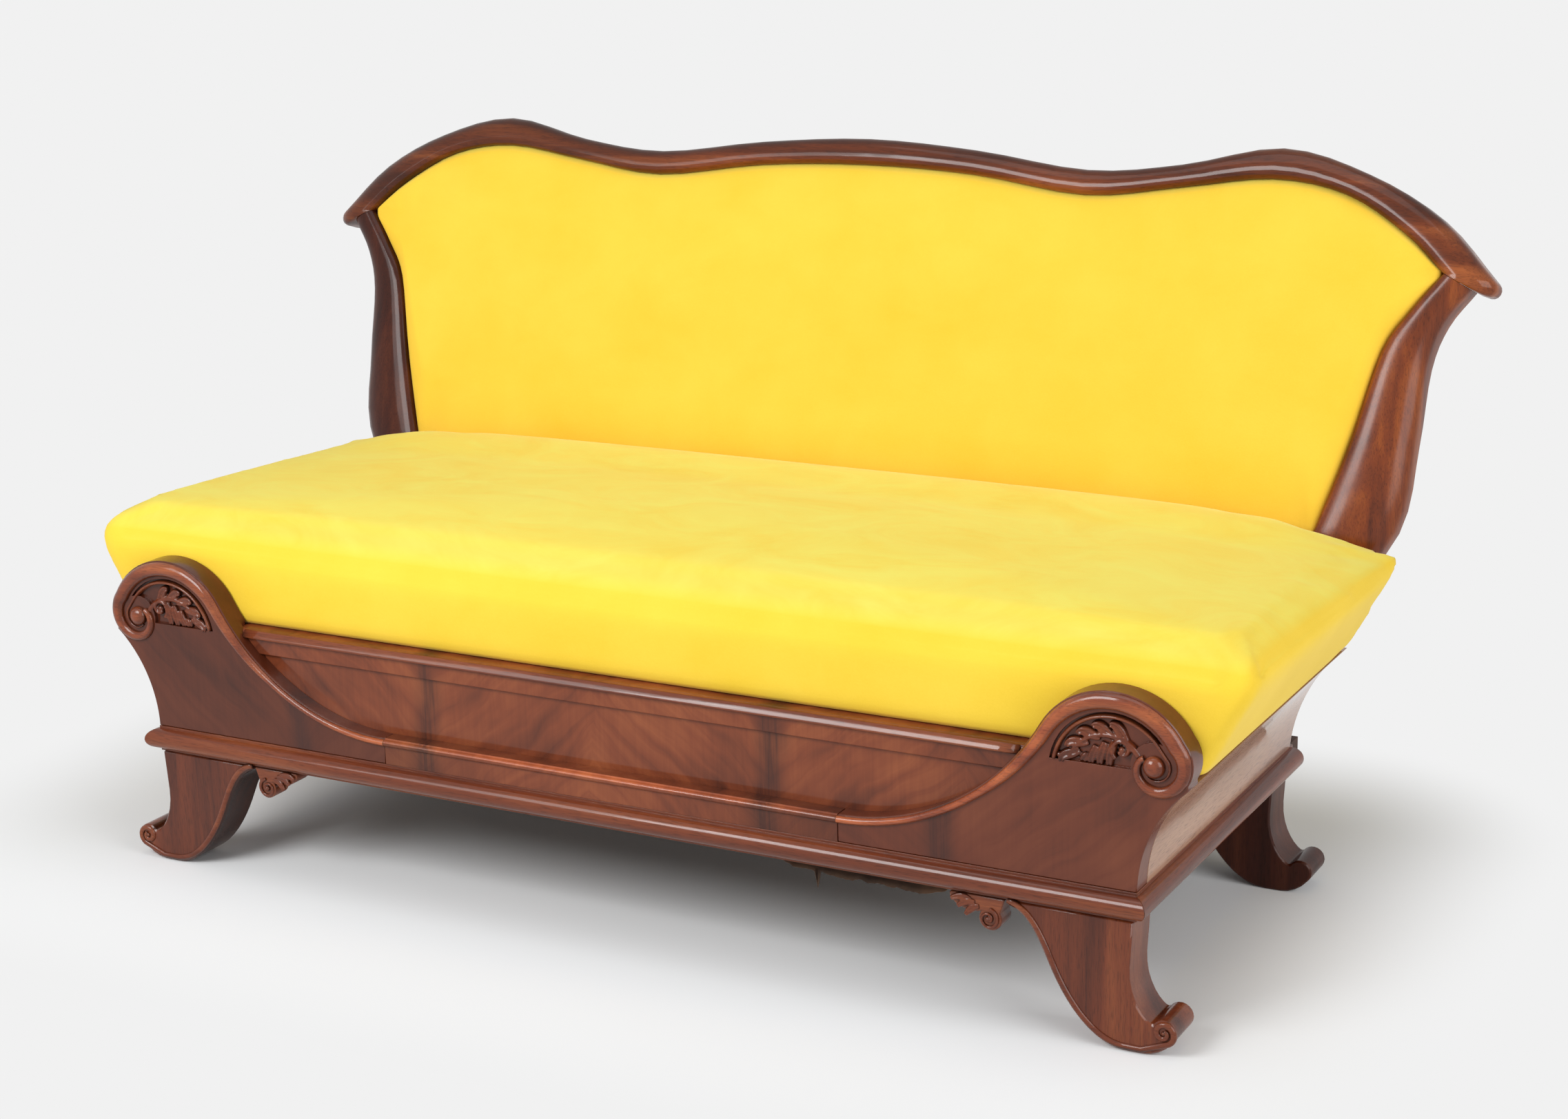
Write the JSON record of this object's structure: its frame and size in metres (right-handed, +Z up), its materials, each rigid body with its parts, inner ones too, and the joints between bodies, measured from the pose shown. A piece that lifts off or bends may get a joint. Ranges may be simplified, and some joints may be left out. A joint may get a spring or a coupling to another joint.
{
  "type": "settee",
  "caption": "Mahogany settee on scroll feet, with S-curved front boards ending in carved volutes, a sprung velvet seat and a raked back under a serpentine crest rail.",
  "frame": {"origin": "middle of the footprint's bounding box, on the floor", "axes": "+X along the length, -Y out of the front, +Z up"},
  "size_m": [1.696, 0.7756, 0.8787],
  "materials": {
    "mahogany": "french polished, glossy, worn at the edges",
    "veneer": "figured mahogany veneer, french polished",
    "pine": "unpolished softwood inside the frame",
    "velvet": "close yellow velvet over stuffing",
    "jute": "woven jute webbing and hessian",
    "spring_steel": "drawn spring wire",
    "dark_cotton": "thin dark cotton dust cover"
  },
  "bodies": {
    "root": {"back_bottom_rail": "pine", "back_hessian": "jute", "back_lining": "velvet", "back_pad": "velvet", "back_stile_left": "mahogany", "back_stile_right": "mahogany", "base_frame_rear": "pine", "base_moulding_front": "mahogany", "base_moulding_left": "mahogany", "base_moulding_right": "mahogany", "corner_block_left": "pine", "corner_block_right": "pine", "corner_post_left": "pine", "corner_post_right": "pine", "crest_rail": "mahogany", "cross_bearer_left": "pine", "cross_bearer_right": "pine", "cross_webbing_1": "jute", "cross_webbing_2": "jute", "cross_webbing_3": "jute", "cross_webbing_4": "jute", "cross_webbing_5": "jute", "dust_cover": "dark_cotton", "foot_bracket_left": "mahogany", "foot_bracket_right": "mahogany", "foot_front_left": "mahogany", "foot_front_right": "mahogany", "foot_rear_left": "mahogany", "foot_rear_right": "mahogany", "front_apron": "veneer", "front_rail": "veneer", "front_rail_band": "veneer", "long_webbing_1": "jute", "long_webbing_2": "jute", "rear_rail": "pine", "scroll_bead_left": "mahogany", "scroll_bead_right": "mahogany", "scroll_board_left": "veneer", "scroll_board_right": "veneer", "seat_border_front": "velvet", "seat_border_left": "velvet", "seat_border_rear": "velvet", "seat_border_right": "velvet", "seat_pad": "velvet", "seat_spring_01": "spring_steel", "seat_spring_02": "spring_steel", "seat_spring_03": "spring_steel", "seat_spring_04": "spring_steel", "seat_spring_05": "spring_steel", "seat_spring_06": "spring_steel", "seat_spring_07": "spring_steel", "seat_spring_08": "spring_steel", "seat_spring_09": "spring_steel", "seat_spring_10": "spring_steel", "side_rail_left": "veneer", "side_rail_right": "veneer", "spring_hessian": "jute"}
  },
  "joints": []
}
